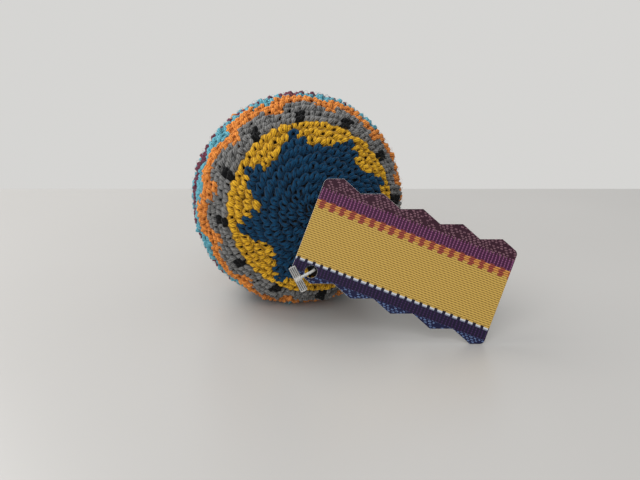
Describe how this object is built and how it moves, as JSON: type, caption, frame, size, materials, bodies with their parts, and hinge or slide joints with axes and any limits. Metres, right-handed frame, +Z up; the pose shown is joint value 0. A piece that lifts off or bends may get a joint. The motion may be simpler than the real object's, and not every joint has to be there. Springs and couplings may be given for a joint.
{
  "type": "footbag",
  "caption": "Round crocheted footbag filled with loose pellets, patterned in coloured yarns, with a card hang tag held by a plastic tag pin.",
  "frame": {"origin": "on the surface that the bag rests on, under the lowest point of its widest round", "axes": "+Z up; -Y is the way that the front pole of the crochet looks, 4 degrees above level; +X runs along the hang tag's level direction, to the right as seen from the front"},
  "size_m": [0.0741, 0.0743, 0.0556],
  "materials": {
    "navy_yarn": "matt plied cotton yarn",
    "gold_yarn": "matt plied cotton yarn",
    "grey_yarn": "matt plied cotton yarn",
    "black_yarn": "matt plied cotton yarn",
    "orange_yarn": "matt plied cotton yarn",
    "turquoise_yarn": "matt plied cotton yarn",
    "maroon_yarn": "matt plied cotton yarn",
    "pellets": "moulded pellets",
    "tag_card": "printed card with a slight sheen",
    "clear_plastic": "clear moulded plastic"
  },
  "bodies": {
    "bag": {"navy_yarn_front": "navy_yarn", "navy_yarn_back": "navy_yarn", "gold_yarn_front": "gold_yarn", "gold_yarn_back": "gold_yarn", "grey_yarn_front": "grey_yarn", "grey_yarn_back": "grey_yarn", "orange_yarn_front": "orange_yarn", "orange_yarn_back": "orange_yarn", "turquoise_yarn_front": "turquoise_yarn", "turquoise_yarn_back": "turquoise_yarn", "maroon_yarn_middle": "maroon_yarn", "black_yarn_front_01": "black_yarn", "black_yarn_front_02": "black_yarn", "black_yarn_front_03": "black_yarn", "black_yarn_front_04": "black_yarn", "black_yarn_front_05": "black_yarn", "black_yarn_front_06": "black_yarn", "black_yarn_front_07": "black_yarn", "black_yarn_front_08": "black_yarn", "black_yarn_front_09": "black_yarn", "black_yarn_front_10": "black_yarn", "black_yarn_front_11": "black_yarn", "black_yarn_front_12": "black_yarn", "black_yarn_back_01": "black_yarn", "black_yarn_back_02": "black_yarn", "black_yarn_back_03": "black_yarn", "black_yarn_back_04": "black_yarn", "black_yarn_back_05": "black_yarn", "black_yarn_back_06": "black_yarn", "black_yarn_back_07": "black_yarn", "black_yarn_back_08": "black_yarn", "black_yarn_back_09": "black_yarn", "black_yarn_back_10": "black_yarn", "black_yarn_back_11": "black_yarn", "black_yarn_back_12": "black_yarn", "closing_knot": "navy_yarn", "pellet_fill": "pellets"},
    "pin": {"tag_pin": "clear_plastic"},
    "tag": {"hang_tag": "tag_card"}
  },
  "joints": [
    {"name": "pin_swing", "type": "hinge", "parent": "bag", "child": "pin", "pos_m": [0.00104, -0.01694, 0.01288], "axis": [0.981, -0.1942, 0], "range_deg": [0, 30]},
    {"name": "tag_spin", "type": "hinge", "parent": "pin", "child": "tag", "pos_m": [-0.00162, -0.03041, 0.01682], "axis": [-0.1867, -0.943, 0.2756], "continuous": true}
  ]
}
